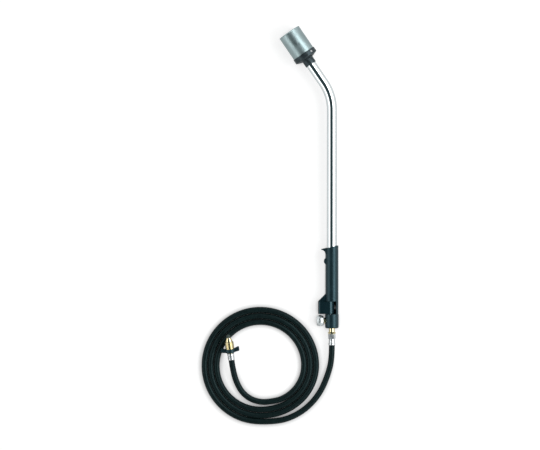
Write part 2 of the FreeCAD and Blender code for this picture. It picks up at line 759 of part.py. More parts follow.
def handle_shell(label, half):
    front = half == "above"
    body = new_body(label, "torch")
    revolve(body, outline(new_sketch(body, "XY_Plane"), [
        ("neck_diameter / 2 + slip", "0"), ("housing_radius - housing_round", "0"),
        ("housing_radius", "housing_round", "housing_round", "left"),
        ("housing_radius", "housing_length - housing_radius + grip_radius"),
        ("grip_radius", "housing_length"), ("grip_radius", "top_blank"), ("tube_pocket", "top_blank"),
        ("tube_pocket", "tube_seat"), ("rib_bore / 2", "tube_seat"),
        ("rib_bore / 2", "tube_seat - rib_thickness"), ("cavity", "tube_seat - rib_thickness"),
        ("cavity", "floor_thickness"), ("neck_diameter / 2 + slip", "floor_thickness")]), half)
    lip = outline(new_sketch(body, "XY_Plane"), [
        ("0 - wall_inside", "lip_foot"), ("0 - wall_inside", "top_blank"), ("0 - lip_reach", "top_blank"),
        ("0 - lip_reach", "lip_tip_foot"), ("0 - grip_radius", "lip_foot", "lip_cove", "right")])
    pad(body, lip, "lip_half_width", not front)
    corner = size("lip_reach")
    edge_side = size("lip_half_width")
    ease_edges(body, lambda edge: runs_along_lance(edge, -corner, edge_side), "lip_round")
    bump = outline(new_sketch(body, "XY_Plane"), [
        ("0 - wall_inside", "bump_station - bump_half_length"),
        ("0 - wall_inside", "bump_station + bump_half_length"),
        ("0 - grip_radius", "bump_station + bump_half_length"),
        ("0 - grip_radius", "bump_station - bump_half_length", "bump_round", "left")])
    pad(body, bump, "bump_half_width", not front)
    far = "(lip_reach + play)"
    pocket(body, outline(new_sketch(body, "XY_Plane"), [
        (f"0 - {far}", f"top_station - {far} * slope_ratio"), (far, f"top_station + {far} * slope_ratio"),
        (far, "top_blank + lip_reach"), (f"0 - {far}", "top_blank + lip_reach")]))
    reach = "(trigger_nose + play)"
    pocket(body, outline(new_sketch(body, "XY_Plane"), rectangle(
        f"0 - {reach}", "window_floor", "window_edge" if front else "back_window_edge", "window_top")))
    slot = outline(new_sketch(body, "XY_Plane"), rectangle(
        f"0 - {reach}", "window_top - play", "0 - wedge_foot + trigger_travel + play", "wedge_top + play"))
    pocket(body, slot, "wedge_half_width + play", front)
    bore(body, "YZ_Plane", "valve_station", "0", "gland_flats * 2 / sqrt(3) + play",
         "housing_radius + play")
    for x, y in SCREW_PLACES[:4]:
        pad(body, circle(new_sketch(body, "XY_Plane"), x, y, "post_diameter"), "post_height", not front)
    for x, y in SCREW_PLACES:
        if front:
            bore(body, "XY_Plane", x, y, "handle_screw_diameter", "handle_screw_grip + play", None, True)
            continue
        bore(body, "XY_Plane", x, y, "handle_screw_diameter", "housing_radius")
        bore(body, "XY_Plane", x, y, "handle_screw_head + 2 * slip", "housing_radius",
             "0 - handle_screw_seat")
    half_socket = "piezo_diameter / 2 + piezo_socket_wall"
    pad(body, outline(new_sketch(body, "XY_Plane"), rectangle(
        "piezo_mouth", f"piezo_station - {half_socket}", "cavity + shell_wall / 4",
        f"piezo_station + {half_socket}")), half_socket, not front)
    bore(body, "YZ_Plane", "piezo_station", "0", "piezo_diameter", "piezo_seat", None, True)


def runs_along_lance(edge, x, z):
    """Tell whether an edge runs along the lance at the given place, on either half."""
    box = edge.BoundBox
    misses = (box.XMin - x, box.XLength, abs(box.ZMin) - z, box.ZLength)
    return all(abs(miss) < LENGTH_TOLERANCE for miss in misses)


def handle():
    handle_shell("handle_front_shell", "above")
    handle_shell("handle_back_shell", "below")
    screws = []
    for index, (x, y) in enumerate(SCREW_PLACES):
        screw = turned(f"handle_screw_{index}", None, [
            ("0", "0 - handle_screw_grip"), ("handle_screw_diameter / 2", "0 - handle_screw_grip"),
            ("handle_screw_diameter / 2", "handle_screw_seat"),
            ("handle_screw_head / 2", "handle_screw_seat"),
            ("handle_screw_head / 2", "handle_screw_seat + handle_screw_head_height"),
            ("0", "handle_screw_seat + handle_screw_head_height")])
        nodes.pop()
        key = outline(new_sketch(screw, "XZ_Plane", "0 - handle_screw_seat - handle_screw_head_height"),
                      hexagon("socket_key"))
        pocket(screw, key, "socket_key_depth", True)
        screws.append(screw)
    group("handle_screws", screws, [f"handle_screw_{index}" for index in range(len(screws))])


def trigger():
    body = new_body("igniter_trigger", "torch")
    left = "0 - trigger_nose"
    inner = "trigger_half_width - trigger_corner"
    section = outline(new_sketch(body, "XZ_Plane", "0 - trigger_floor"), [
        (f"{left} + trigger_corner", "0 - trigger_half_width", "trigger_corner", "left"),
        ("0 - cheek_centre", "0 - trigger_half_width"),
        ("trigger_half_width - cheek_centre", "0", "trigger_half_width", "left"),
        ("0 - cheek_centre", "trigger_half_width", "trigger_half_width", "left"),
        (f"{left} + trigger_corner", "trigger_half_width"), (left, inner, "trigger_corner", "left"),
        (left, f"0 - ({inner})")])
    pad(body, section, "trigger_height", True)
    hollow = outline(new_sketch(body, "XZ_Plane"), [
        ("0 - trigger_web", "0 - cheek_bore"), ("0 - cheek_centre", "0 - cheek_bore"),
        ("cheek_bore - cheek_centre", "0", "cheek_bore", "left"),
        ("0 - cheek_centre", "cheek_bore", "cheek_bore", "left"), ("0 - trigger_web", "cheek_bore")])
    pocket(body, hollow)
    pocket(body, outline(new_sketch(body, "XZ_Plane"), rectangle(
        "0 - cheek_centre", "0 - cheek_opening", "trigger_half_width", "cheek_opening")))
    wedge = outline(new_sketch(body, "XY_Plane"), [
        ("0 - wedge_foot - trigger_wall", "trigger_top - trigger_wall"), ("0 - wedge_foot", "trigger_top"),
        ("0 - wedge_foot", "wedge_top"), ("0 - wedge_shoulder", "wedge_top"), (left, "trigger_top"),
        (left, "trigger_top - trigger_wall")])
    pad(body, wedge, "2 * wedge_half_width", False, True)
    bore(body, "YZ_Plane", "piezo_station", "0", "plunger_diameter", "plunger_seat")
    nose = size("trigger_nose")
    floor = size("trigger_floor")

    def under_nose(edge):
        return edge.BoundBox.YMax < floor + LENGTH_TOLERANCE and edge.BoundBox.XMax < -nose / 2
    ease_edges(body, under_nose, "trigger_round")

    piezo = turned("piezo_igniter", "piezo", [
        ("0", "plunger_diameter"), ("plunger_diameter / 2 + slip", "plunger_diameter"),
        ("plunger_diameter / 2 + slip", "0 - piezo_free_end"), ("piezo_diameter / 2", "0 - piezo_free_end"),
        ("piezo_diameter / 2", "piezo_seat"), ("0", "piezo_seat")])
    pad(piezo, circle(new_sketch(piezo, "YZ_Plane"), "terminal_offset", "0", "terminal_diameter"),
        "terminal_height", True)
    turned("piezo_plunger", "piezo", [
        ("0", "0 - plunger_seat"), ("plunger_diameter / 2", "0 - plunger_seat"),
        ("plunger_diameter / 2", "0 - plunger_inset"), ("0", "0 - plunger_inset")])


def valve():
    body = turned("valve_body", "torch", [
        ("0", "floor_thickness + inlet_bore_depth"), ("inlet_bore / 2", "floor_thickness + inlet_bore_depth"),
        ("inlet_bore / 2", "floor_thickness"), ("valve_neck_diameter / 2", "floor_thickness"),
        ("valve_neck_diameter / 2", "valve_neck_top"), ("valve_diameter / 2", "valve_neck_top"),
        ("valve_diameter / 2", "valve_top"), ("0", "valve_top")])
    pad(body, circle(new_sketch(body, "YZ_Plane"), "valve_station", "0", "valve_boss_diameter"),
        "valve_boss_reach", True)
    bore(body, "YZ_Plane", "valve_station", "0", "spindle_bore", "valve_boss_reach + play")
    bore(body, "YZ_Plane", "valve_station", "0", "packing_diameter", "valve_boss_reach",
         "0 - packing_floor")
    bore(body, "XZ_Plane", "0", "0", "passage_diameter", "valve_station - passage_diameter / 3")
    bore(body, "XZ_Plane", "0 - pipe_offset_side", "0 - pipe_offset_back", "pipe_diameter", "valve_top",
         "0 - pipe_floor")
    bore(body, "XZ_Plane", "0 - pipe_offset_side", "0 - pipe_offset_back", "passage_diameter",
         "pipe_floor - valve_station + passage_diameter / 2", "passage_diameter / 2 - valve_station")
    bore(body, "XY_Plane", "0 - pipe_offset_side", "valve_station", "cross_passage", "pipe_offset_back")

    spindle = turned("valve_spindle", "valve", [
        ("0", "0"), ("needle_tip / 2", "0"), ("spindle_diameter / 2", "needle_length"),
        ("spindle_diameter / 2", "spindle_reach"), ("0", "spindle_reach")])
    bore(spindle, "XZ_Plane", "0", "0", "knob_screw_diameter + 2 * slip", "spindle_reach",
         "0 - spindle_reach + knob_screw_grip + play")
    turned("gland_packing", "valve", rectangle(
        "spindle_bore / 2", "packing_floor", "packing_diameter / 2", "valve_boss_reach"))
    gland = new_body("gland_nut", "valve")
    pad(gland, outline(new_sketch(gland, "XZ_Plane", "0 - valve_boss_reach"), hexagon("gland_flats")),
        "gland_thickness", True)
    bore(gland, "XZ_Plane", "0", "0", "spindle_bore")
    bevel_hex(gland, "gland_flats", [("valve_boss_reach + gland_thickness", "-")])

    knob = turned("valve_knob", "valve", [
        ("spindle_bore / 2", "knob_station"), ("knob_end_diameter / 2 - knob_round", "knob_station"),
        ("knob_end_diameter / 2", "knob_station + knob_round", "knob_round", "left"),
        ("knob_diameter / 2", "knob_station + knob_length / 2", "knob_barrel", "left"),
        ("knob_end_diameter / 2", "knob_face - knob_round", "knob_barrel", "left"),
        ("knob_end_diameter / 2 - knob_round", "knob_face", "knob_round", "left"),
        ("knob_recess / 2", "knob_face"), ("knob_recess / 2", "knob_face - knob_recess_depth"),
        ("knob_screw_diameter / 2", "knob_face - knob_recess_depth"),
        ("knob_screw_diameter / 2", "spindle_reach + slip"), ("spindle_bore / 2", "spindle_reach + slip")])
    flute = bore(knob, "XZ_Plane", "0", "knob_diameter / 2 - flute_depth + flute_diameter / 2",
                 "flute_diameter")
    polar(knob, flute, "flute_count")

    screw = turned("knob_screw", "valve", [
        ("0", "spindle_reach - knob_screw_grip"),
        ("knob_screw_diameter / 2", "spindle_reach - knob_screw_grip"),
        ("knob_screw_diameter / 2", "knob_face - knob_recess_depth"),
        ("knob_screw_head / 2", "knob_face - knob_recess_depth"),
        ("knob_screw_head / 2 - knob_screw_bevel", "knob_face - knob_recess_depth + knob_screw_head_height"),
        ("0", "knob_face - knob_recess_depth + knob_screw_head_height")])
    key = outline(new_sketch(screw, "XZ_Plane", "knob_recess_depth - knob_face - knob_screw_head_height"),
                  hexagon("socket_key"))
    pocket(screw, key, "socket_key_depth", True)


def inlet():
    nipple = turned("inlet_nipple", "torch", [
        ("passage_diameter / 2", "nut_top - tail_length"), ("tail_diameter / 2", "nut_top - tail_length"),
        ("tail_diameter / 2", "nut_top"), ("neck_diameter / 2", "nut_top"),
        ("neck_diameter / 2", "floor_thickness"),
        ("inlet_bore / 2", "floor_thickness"), ("inlet_bore / 2", "floor_thickness + inlet_bore_depth"),
        ("passage_diameter / 2", "floor_thickness + inlet_bore_depth")])
    pad(nipple, outline(new_sketch(nipple, "XZ_Plane", "0 - nut_top"), hexagon("collar_flats")),
        "collar_thickness", True)
    bore(nipple, "XZ_Plane", "0", "0", "passage_diameter")
    bevel_hex(nipple, "collar_flats", [("collar_top", "-"), ("nut_top", "+")])

    nut = new_body("swivel_nut", "torch")
    pad(nut, outline(new_sketch(nut, "XZ_Plane", "0 - ferrule_top"), hexagon("nut_flats")),
        "nut_length", True)
    bore(nut, "XZ_Plane", "0", "0", "tail_diameter + 2 * slip")
    bevel_hex(nut, "nut_flats", [("nut_top", "-"), ("ferrule_top", "+")])

    bead = "ferrule_bead_diameter / 2"
    rise = "(ferrule_bead_diameter - ferrule_diameter) / 2"
    turned("torch_end_ferrule", "torch", [
        ("0", "ferrule_top"), ("0", "hose_start"), ("hose_diameter / 2", "hose_start"),
        (bead, f"hose_start + {rise}"), (bead, "hose_start + ferrule_bead_length"),
        ("ferrule_diameter / 2", f"hose_start + ferrule_bead_length + {rise}"),
        ("ferrule_diameter / 2", f"ferrule_top - {rise}"), (f"ferrule_diameter / 2 - {rise}", "ferrule_top")])


def connector():
    outside = "end_ferrule_diameter / 2"
    shoulder = "end_ferrule_diameter / 2 - end_ferrule_bevel"

    def ring_groove(station):
        depth = "end_ferrule_groove"
        return [(outside, f"{station} - {depth}"), (f"{outside} - {depth}", station),
                (outside, f"{station} + {depth}")]
    turned("cylinder_end_ferrule", "connector", [
        ("0", "0"), (shoulder, "0"), (outside, "end_ferrule_bevel"),
        *ring_groove("first_groove_station"), *ring_groove("second_groove_station"),
        (outside, "end_ferrule_length - end_ferrule_bevel"), (shoulder, "end_ferrule_length"),
        ("stem_tail_diameter / 2", "end_ferrule_length"),
        ("stem_tail_diameter / 2", "end_ferrule_length - stem_tail_length"),
        ("0", "end_ferrule_length - stem_tail_length")])
    turned("connector_nipple", "connector", [
        ("passage_diameter / 2", "end_ferrule_length - stem_tail_length"),
        ("stem_tail_diameter / 2", "end_ferrule_length - stem_tail_length"),
        ("stem_tail_diameter / 2", "end_ferrule_length"), ("stem_collar_diameter / 2", "end_ferrule_length"),
        ("stem_collar_diameter / 2", "stem_collar_end"), ("stem_diameter / 2", "stem_collar_end"),
        ("stem_diameter / 2", "shoulder_start"), ("shoulder_diameter / 2", "shoulder_start"),
        ("shoulder_diameter / 2", "shoulder_start + shoulder_land"),
        ("seal_diameter / 2", "shoulder_end"), ("seal_seat_diameter / 2", "shoulder_end"),
        ("seal_seat_diameter / 2", "seal_end"), ("passage_diameter / 2", "seal_end")])
    turned("nose_seal", "connector", [
        ("seal_seat_diameter / 2", "shoulder_end"), ("seal_diameter / 2", "shoulder_end"),
        ("seal_diameter / 2", "seal_end"), ("nose_diameter / 2", "nose_end - nose_round"),
        ("nose_diameter / 2 - nose_round", "nose_end", "nose_round", "left"),
        ("passage_diameter / 2", "nose_end"), ("passage_diameter / 2", "seal_end"),
        ("seal_seat_diameter / 2", "seal_end")])
    turned("connector_nut", "connector", [
        ("stem_diameter / 2 + slip", "nut_start"), ("nut_hub_diameter / 2", "nut_start"),
        ("nut_hub_diameter / 2", "wing_end"), ("thread_diameter / 2", "wing_end"),
        ("thread_diameter / 2", "thread_end - thread_chamfer"),
        ("thread_diameter / 2 - thread_chamfer", "thread_end"), ("stem_diameter / 2 + slip", "thread_end")])
    wing = turned("wing_handle", "connector", [
        ("nut_hub_diameter / 2", "nut_start"), ("wing_hub_diameter / 2 - wing_round", "nut_start"),
        ("wing_hub_diameter / 2", "nut_start + wing_round", "wing_round", "left"),
        ("wing_hub_diameter / 2", "wing_end - wing_round"),
        ("wing_hub_diameter / 2 - wing_round", "wing_end", "wing_round", "left"),
        ("nut_hub_diameter / 2", "wing_end")])
    for side in ("", "0 - "):
        turn = "left" if side else "right"
        root = f"{side}(nut_hub_diameter / 2 + play)"
        rim = f"{side}wing_hub_diameter / 2"
        tip = f"{side}wing_half_span"
        inset = f"{side}(wing_half_span - wing_round)"
        blade = outline(new_sketch(wing, "XY_Plane"), [
            (root, "nut_start + play"), (root, "wing_end - play"), (rim, "wing_end - play"),
            (inset, "wing_end + wing_sweep"),
            (tip, "wing_end + wing_sweep - wing_round", "wing_round", turn),
            (tip, "nut_start + wing_sweep + wing_round"),
            (inset, "nut_start + wing_sweep", "wing_round", turn)])
        pad(wing, blade, "wing_thickness", False, True)


# Bends of the hose on either side of the coil, from the coil's centre.
LEAD_POINTS = ((168.8, -23.7, 3.5), (149.7, -67.9, 0), (119.9, -103.4, 0), (82.4, -127.9, 0))
TAIL_POINTS = ((-20.9, -85.2, 0.1), (-38.8, -73.6, 0.5), (-53.5, -55.5, 1.6))


def clockwise_arc(centre, radius, first, turn):
    """Give a clockwise arc from an angle, through a turn in radians, as its three points."""
    angles = (first, first - turn / 2, first - turn)
    return [centre + Vector(radius * math.cos(angle), radius * math.sin(angle), 0) for angle in angles]


def coil_centre():
    return Vector(-size("coil_centre_side"), -size("coil_centre_back"), size("hose_diameter / 2"))


def coil_arcs():
    """Give the coil's arcs, clockwise from its outer end.

    Each turn is three quarters of a circle and a quarter that steps in by the pitch, in two arcs. The
    last quarter keeps beside the turn outside it, and then levels out short of the middle.
    """
    centre = coil_centre()
    pitch = size("coil_pitch")
    turns = int(size("coil_turns"))
    right_angle = math.pi / 2
    near_turn = math.radians(size("coil_step_turn"))
    sine = math.sin(near_turn)
    cosine = math.cos(near_turn)
    offset = pitch * cosine / (sine + cosine - 1)
    arcs = []
    for turn in range(turns):
        radius = size("coil_radius") - turn * pitch
        for step in range(3):
            arcs.append(clockwise_arc(centre, radius, -(step + 1) * right_angle, right_angle))
        shift = size("coil_end_shift") if turn == turns - 1 else 0
        near_radius = radius - offset
        arcs.append(clockwise_arc(centre + Vector(offset, 0, 0), near_radius, 0, near_turn))
        far_radius = near_radius + (offset - shift) / cosine
        far_centre = arcs[-1][2] + Vector(-cosine, sine, 0) * far_radius
        arcs.append(clockwise_arc(far_centre, far_radius, -near_turn, right_angle - near_turn))
    return arcs


def lead_route(coil_start):
    """Give the points of the hose from the torch to the coil."""
    leave = laid.multVec(Vector(0, size("hose_start"), 0))
    heading = laid.Rotation.multVec(Vector(0, -1, 0))
    between = [coil_centre() + Vector(*point) for point in LEAD_POINTS]
    near = coil_start + Vector(size("lead_end_run"), 0, 0)
    return [leave, leave + heading * size("lead_run"), *between, near, coil_start]


def tail_route(coil_end):
    """Give the points of the hose from the coil to the connector."""
    arrive = connector_frame.Base
    axis = connector_frame.Rotation.multVec(Vector(0, 1, 0))
    between = [coil_centre() + Vector(*point) for point in TAIL_POINTS]
    near = coil_end - Vector(size("tail_run"), 0, 0)
    return [coil_end, near, *between, arrive - axis * size("tail_end_run"), arrive]


def connector_place():
    """Give the connector's place: its origin at the end of the hose, its Y axis along the last run."""
    reach = Vector(-size("connector_side"), size("connector_ahead"), size("connector_rise"))
    lean = Rotation(Vector(0, 0, 1), size("connector_lean"))
    pitch = Rotation(Vector(1, 0, 0), size("connector_pitch"))
    return Placement(coil_centre() + reach, lean * pitch)


def least_gap(wire, diameter):
    """Measure the least gap between the turns on points along the wire."""
    spacing = diameter / 4
    points = wire.discretize(Distance=spacing)
    apart = int(3 * diameter / spacing)
    least = math.inf
    for index, point in enumerate(points):
        for other in points[index + apart:]:
            least = min(least, point.distanceToPoint(other))
    return least - diameter


def hose():
    """Lay the hose: from the torch to the coil, the coil, and from the coil to the connector."""
    diameter = size("hose_diameter")
    arcs = coil_arcs()
    coil_wire = Part.Wire([Part.Arc(*arc).toShape() for arc in arcs])
    length = coil_wire.Length
    routes = {"hose_lead": lead_route(arcs[0][0]), "hose_tail": tail_route(arcs[-1][2])}
    for label, points in routes.items():
        wire, radii = rounded_wire(points)
        print(label, "radii", [round(value, 1) for value in radii], "length", round(wire.Length, 1))
        length += wire.Length
        solid_feature(label, "floor").Shape = tube_along(wire, diameter)
    solid_feature("hose_coil", "floor").Shape = tube_along(coil_wire, diameter)
    print("coil gap", round(least_gap(coil_wire, diameter), 2), "hose length", round(length, 1))


def place(base, axis=None, angle=0):
    return Placement(base, Rotation(axis or Vector(0, 0, 1), angle))


def lay_torch():
    """Tilt the torch so that the flange's back edge and the rounded foot of the handle touch the surface."""
    bend = math.radians(size("bend_angle"))
    foot_round = size("housing_round")
    foot_radius = size("housing_radius") - foot_round
    edge_reach = size("bend_station + (rim_back + rim_round) * cos(bend_angle * 1 deg)")
    tilt = 0
    for _ in range(20):
        foot = foot_radius * math.cos(tilt) - foot_round * math.sin(tilt) + foot_round
        edge = size("flange_radius") * math.sqrt(1 - (math.cos(bend) * math.sin(tilt)) ** 2)
        tilt = math.asin((edge - foot) / edge_reach)
    return place(Vector(0, 0, foot), Vector(1, 0, 0), math.degrees(tilt))


def frames():
    """Give each frame's place on the surface, before the origin is moved under the torch."""
    across = Vector(0, 0, 1)
    along = Vector(0, 1, 0)
    head = laid * place(Vector(0, size("bend_station"), 0), across, size("bend_angle"))
    spin = head * place(Vector(), along, size("cup_screw_angle"))
    found = {
        "torch": laid,
        "head": head,
        "head_spin": spin,
        "electrode": head * place(Vector(0, 0, size("electrode_offset"))),
        "set_screw": spin * place(Vector(0, size("hub_station + tube_insert / 2"), 0), across, -90),
        "piezo": laid * place(Vector(0, size("piezo_station"), 0), across, -90),
        "valve": laid * place(Vector(0, size("valve_station"), 0), across, 90),
        "pipe_nut": laid * place(Vector(-size("pipe_offset_side"), 0, -size("pipe_offset_back"))),
        "connector": connector_frame,
        "floor": Placement(),
    }
    count = int(size("cup_screw_count"))
    for index in range(count):
        radial = spin * place(Vector(0, size("rim_middle"), 0), along, index * 360 / count)
        found[f"cup_screw_{index}"] = laid.inverse() * radial * place(Vector(), Vector(1, 0, 0), 90)
    for index, (x, y) in enumerate(SCREW_PLACES):
        found[f"handle_screw_{index}"] = place(Vector(size(x), size(y), 0), Vector(1, 0, 0), -90)
    return found


def build():
    burner_head()
    lance()
    handle()
    trigger()
    valve()
    inlet()
    connector()
    hose()
    doc.recompute()


CORD = ("hose_lead", "hose_coil", "hose_tail", "cylinder_end_ferrule", "connector_nipple", "nose_seal",
        "connector_nut", "wing_handle")


def settle():
    """Put every piece in its frame, with the origin on the surface below the middle of the torch."""
    found = frames()
    for piece, frame in helpers:
        piece.Placement = found[frame]
    for piece, frame in nodes:
        piece.Placement = found[frame]
    doc.recompute()
    box = FreeCAD.BoundBox()
    for piece, frame in nodes:
        if piece.Label not in CORD:
            box.add(piece.Shape.optimalBoundingBox())
    shift = Vector(-box.Center.x, -box.Center.y, 0)
    print("origin moved by", round(shift.x, 3), round(shift.y, 3), "lowest", round(box.ZMin, 3))
    for piece, frame in nodes:
        piece.Placement = Placement(shift, Rotation()) * found[frame]
    doc.recompute()


def check():
    for item in doc.Objects:
        if "Invalid" in item.State or "Error" in item.State:
            raise ValueError(f"{item.Label} failed: {item.State}")
        cuts = item.TypeId in ("PartDesign::Pocket", "PartDesign::Groove")
        if cuts and item.Shape.Volume > item.BaseFeature.Shape.Volume - LEAST_CUT:
            raise ValueError(f"{item.Label} cuts nothing")
    for piece, frame in nodes:
        if piece.Shape.isNull() or not piece.Shape.isValid() or not piece.Shape.Solids:
            raise ValueError(f"{piece.Label} has no sound solid")


def write():
    os.makedirs("parts", exist_ok=True)
    for piece, frame in nodes:
        piece.Shape.exportStep(f"parts/{piece.Label}.step")


fill_sheet()
laid = lay_torch()
connector_frame = connector_place()
build()
settle()
check()
write()
print("nodes", len(nodes))
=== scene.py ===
"""Looks of a hand-held gas torch that lies on a pale floor with its hose in a flat coil.

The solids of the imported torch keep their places. The hose and the threaded nut are remade here,
and every piece gets a finish of its own. Lengths are in metres, in the torch's own frame.
"""
import json
import math

import bmesh
import bpy
from bpy.props import FloatProperty, FloatVectorProperty, IntProperty, PointerProperty
from mathutils import Matrix, Vector


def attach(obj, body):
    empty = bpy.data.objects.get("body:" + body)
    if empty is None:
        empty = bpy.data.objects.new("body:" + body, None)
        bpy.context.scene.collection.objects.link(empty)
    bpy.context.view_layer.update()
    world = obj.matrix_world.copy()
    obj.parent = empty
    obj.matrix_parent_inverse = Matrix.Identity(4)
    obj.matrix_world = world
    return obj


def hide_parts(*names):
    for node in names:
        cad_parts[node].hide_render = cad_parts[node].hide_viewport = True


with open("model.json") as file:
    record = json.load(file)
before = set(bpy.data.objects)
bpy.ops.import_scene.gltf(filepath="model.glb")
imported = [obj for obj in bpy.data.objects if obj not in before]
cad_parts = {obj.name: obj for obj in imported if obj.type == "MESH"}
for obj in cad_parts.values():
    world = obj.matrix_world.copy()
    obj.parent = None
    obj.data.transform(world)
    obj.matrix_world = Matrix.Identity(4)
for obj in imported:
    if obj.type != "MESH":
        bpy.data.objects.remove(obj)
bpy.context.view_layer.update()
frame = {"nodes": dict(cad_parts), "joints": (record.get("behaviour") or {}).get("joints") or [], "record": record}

bl_info = {
    "name": "Gas torch looks",
    "version": (1, 0, 0),
    "blender": (4, 5, 0),
    "location": "View3D > Sidebar > Torch",
    "description": "Builds the hose, connector thread, finishes and stage of a gas torch",
    "category": "Object",
}


def named(rows, name):
    """Give the row with a name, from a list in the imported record."""
    return next(row for row in rows if row["name"] == name)


# Control points of the hose, as in the part's source. Those of the bends on either side of the
# coil are measured from the coil's centre.
COIL_CENTRE = Vector((-0.121838, -0.450674, 0.0074))
HOSE_EXIT = Vector((0.056912, -0.398666, 0.016075))
LEAD_START = Vector((0.056912, -0.434159, 0.015364))
LEAD_POINTS = (
    (0.1688, -0.0237, 0.0035),
    (0.1497, -0.0679, 0),
    (0.1199, -0.1034, 0),
    (0.0824, -0.1279, 0),
    (0.04125, -0.14, 0),
)
TAIL_POINTS = (
    (0.0195, -0.090812, 0),
    (-0.0005, -0.090812, 0),
    (-0.0209, -0.0852, 0.0001),
    (-0.0388, -0.0736, 0.0005),
    (-0.0535, -0.0555, 0.0016),
    (-0.067594, -0.019744, 0.006577),
    (-0.0723, 0.016, 0.0149),
)
CORNERS_PER_TURN = 16

# The connector's axis, stations of the threaded nut along it, and the nut's radii.
CONNECTOR_JOINT = named(frame["joints"], "connector_turn")
CONNECTOR_ORIGIN = Vector(CONNECTOR_JOINT["pos_m"])
CONNECTOR_AXIS = Vector(CONNECTOR_JOINT["axis"])
NUT_START = 0.0187
WING_END = 0.0294
THREAD_END = 0.0464
THREAD_CHAMFER = 0.0012
THREAD_RADIUS = named(frame["record"]["mounts"], "cylinder_thread")["dims"]["r_mm"] / 1000
NUT_HUB_RADIUS = 0.008
NUT_BORE_RADIUS = 0.00555
# Over 1, so that the flanks reach the full depth early and leave a flat root between them.
FLANK_STEEPNESS = 1.3
THREAD_SIDES = 96
ROWS_PER_PITCH = 10
SHARP_ANGLE = math.radians(50)

# Turn of the burner cup's axis about Z, which its scratches follow.
HEAD_TURN = math.radians(34.4)

# Sockets of a Mix node that mixes colours.
MIX_FACTOR, MIX_FIRST, MIX_SECOND = 0, 6, 7
MIX_RESULT = 2

# The floor. Its glow makes it white to the camera, and weaker where a metal mirrors it. Ambient
# occlusion dims the glow near the torch as painted shade, so gaps narrower than its reach stay dark.
FLOOR_REACH = 4
FLOOR_DROP = 0.0004
FLOOR_GREY = 0.35
FLOOR_GLOW = 0.74
FLOOR_MIRRORED_SHARE = 0.5
# Reach of the painted shade: ambient occlusion that dims the floor's glow near the torch.
FLOOR_PAINTED_SHADE_REACH = 0.012

# The card overhead: where it is white, dark from and to, and white again, along X.
FLAG_EDGES = (-3.3, -2.0, 0.75, 1.5)
FLAG_HEIGHT = 3
FLAG_REACH = 6
FLAG_DARK = (0.03, 0.05, 0.055, 1)
WHITE = (1, 1, 1, 1)

# The world's light on the torch, where the camera sees plain white.
WORLD_LIGHT = 0.45

LAMP_TARGET = Vector((-0.05, -0.1, 0.02))
CAMERA_PLACE = Vector((-0.0978, -0.0982, 6.02))
CAMERA_LENS = 160
CAMERA_SENSOR = 36
CAMERA_RANGE = 50


def length_property(name, description, default):
    """Give a property that holds a length."""
    return FloatProperty(name=name, description=description, default=default, unit="LENGTH",
                         precision=5)


def colour_property(name, description, default):
    """Give a property that holds a colour."""
    return FloatVectorProperty(name=name, description=description, default=default,
                               subtype="COLOR", size=3, min=0, max=1)


class TorchSizes(bpy.types.PropertyGroup):
    """Sizes of the pieces that are made here."""
    hose_diameter: length_property(
        "Hose diameter", "Outside diameter of the rubber hose", 0.0148)
    hose_length: length_property(
        "Hose length", "Length of the hose from ferrule to ferrule", 2.761)
    coil_radius: length_property(
        "Coil radius", "Radius of the coil's outer turn, at the hose's middle", 0.14)
    coil_pitch: length_property(
        "Coil pitch", "Step inwards from turn to turn", 0.01525)
    coil_turns: IntProperty(
        name="Coil turns", description="Number of turns in the flat coil", default=3)
    thread_pitch: length_property(
        "Thread pitch", "Pitch of the cylinder connector's thread", 0.00181)
    thread_depth: length_property(
        "Thread depth", "Depth of the cylinder connector's thread", 0.00085)


class TorchColours(bpy.types.PropertyGroup):
    """Main colour of each finish."""
    casting: colour_property(
        "Casting", "Dark phosphated casting of the flange", (0.030, 0.044, 0.050))
    cup_steel: colour_property(
        "Cup steel", "Satin steel of the burner cup", (0.35, 0.44, 0.45))
    chrome: colour_property(
        "Chrome", "Bright plating of the lance and the knob", (0.81, 0.862, 0.875))
    zinc: colour_property(
        "Zinc", "Plated steel of nuts and ferrules", (0.74, 0.76, 0.76))
    brass: colour_property(
        "Brass", "Turned brass of the gas fittings", (0.79, 0.70, 0.44))
    plastic: colour_property(
        "Plastic", "Moulded black plastic of the handle", (0.0045, 0.0145, 0.0185))
    rubber: colour_property(
        "Rubber", "Black rubber of the hose", (0.0028, 0.0082, 0.0084))
    rubber_dust: colour_property(
        "Rubber dust", "Trace of dust on the rubber", (0.011, 0.019, 0.019))
    seal: colour_property(
        "Seal", "Grey rubber of the connector's nose", (0.062, 0.076, 0.070))
    ceramic: colour_property(
        "Ceramic", "Glazed insulator", (0.86, 0.83, 0.76))
    black_steel: colour_property(
        "Black steel", "Blackened screws", (0.035, 0.038, 0.040))
    grey_plastic: colour_property(
        "Grey plastic", "Moulded body of the igniter", (0.20, 0.21, 0.22))


def sizes():
    """Give the sizes that the scene holds."""
    return bpy.context.scene.torch_sizes


def colours():
    """Give the colours that the scene holds."""
    return bpy.context.scene.torch_colours


def nodes(*names):
    """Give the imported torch's solids by name."""
    return [frame["nodes"][name] for name in names]


def scaled(tree, value, low, high, start=0, end=1):
    """Map a value that runs from start to end to one that runs from low to high."""
    node = tree.nodes.new("ShaderNodeMapRange")
    node.inputs["From Min"].default_value = start
    node.inputs["From Max"].default_value = end
    node.inputs["To Min"].default_value = low
    node.inputs["To Max"].default_value = high
    tree.links.new(value, node.inputs["Value"])
    return node.outputs["Result"]


def principled(tree):
    """Give the shader that a new material starts with."""
    return next(node for node in tree.nodes if node.type == "BSDF_PRINCIPLED")


